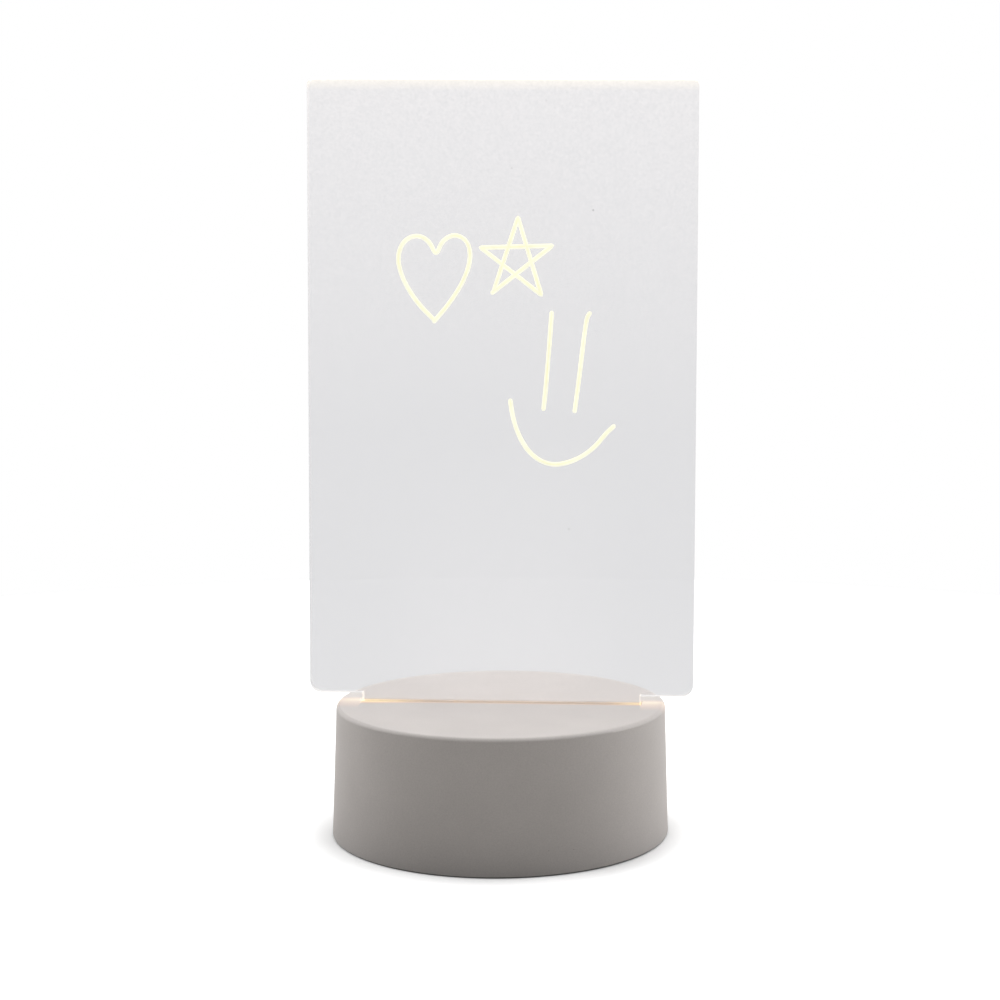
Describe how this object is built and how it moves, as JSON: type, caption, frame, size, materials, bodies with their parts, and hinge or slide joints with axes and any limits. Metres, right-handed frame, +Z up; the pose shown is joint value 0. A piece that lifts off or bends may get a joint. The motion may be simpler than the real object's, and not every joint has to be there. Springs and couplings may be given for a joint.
{
  "type": "led desk lamp with memo board",
  "caption": "Round drafted desk-lamp base with a lit slot that holds an upright clear memo board on a tongue; USB inlet and push button at the back.",
  "frame": {"origin": "on the table, under the middle of the round base", "axes": "+X to the right along the slot, +Y to the back, where the inlet and the button are, +Z up"},
  "size_m": [0.12, 0.1057, 0.233],
  "materials": {
    "base_plastic": "matte",
    "cover_plastic": "matte",
    "button_plastic": "satin",
    "foot_rubber": "matte",
    "screw_steel": "satin",
    "trough_plastic": "satin",
    "led_board_laminate": "satin",
    "control_board_laminate": "satin",
    "led_package": "satin",
    "resistor_ceramic": "satin",
    "chip_epoxy": "matte",
    "capacitor_can": "satin",
    "inlet_steel": "satin",
    "inlet_plastic": "satin",
    "switch_plastic": "matte",
    "plunger_plastic": "matte",
    "connector_nylon": "satin",
    "red_lead": "satin",
    "black_lead": "satin",
    "clear_acrylic": "polished"
  },
  "bodies": {
    "base": {"base_shell": "base_plastic", "board_resistors": "resistor_ceramic", "bottom_cover": "cover_plastic", "clamp_plate": "trough_plastic", "control_board": "control_board_laminate", "cover_screws": "screw_steel", "driver_chip": "chip_epoxy", "filter_capacitor": "capacitor_can", "foot_1": "foot_rubber", "foot_2": "foot_rubber", "foot_3": "foot_rubber", "foot_4": "foot_rubber", "inlet_insulator": "inlet_plastic", "inlet_shell": "inlet_steel", "lead_header": "connector_nylon", "lead_plug": "connector_nylon", "led_1": "led_package", "led_2": "led_package", "led_3": "led_package", "led_4": "led_package", "led_5": "led_package", "led_6": "led_package", "led_7": "led_package", "led_8": "led_package", "led_board": "led_board_laminate", "led_resistors": "resistor_ceramic", "light_trough": "trough_plastic", "negative_lead": "black_lead", "positive_lead": "red_lead", "switch_housing": "switch_plastic", "trough_screws": "screw_steel"},
    "memo_board": {"memo_board": "clear_acrylic"},
    "power_button": {"power_button": "button_plastic", "switch_plunger": "plunger_plastic"}
  },
  "joints": [
    {"name": "board_lift", "type": "slide", "parent": "base", "child": "memo_board", "axis": [0, 0, 1], "range_m": [0, 0.03]},
    {"name": "button_press", "type": "slide", "parent": "base", "child": "power_button", "axis": [0, -1, 0], "range_m": [0, 0.0015], "stiffness_N_per_m": 800, "springref_m": -0.0005}
  ]
}
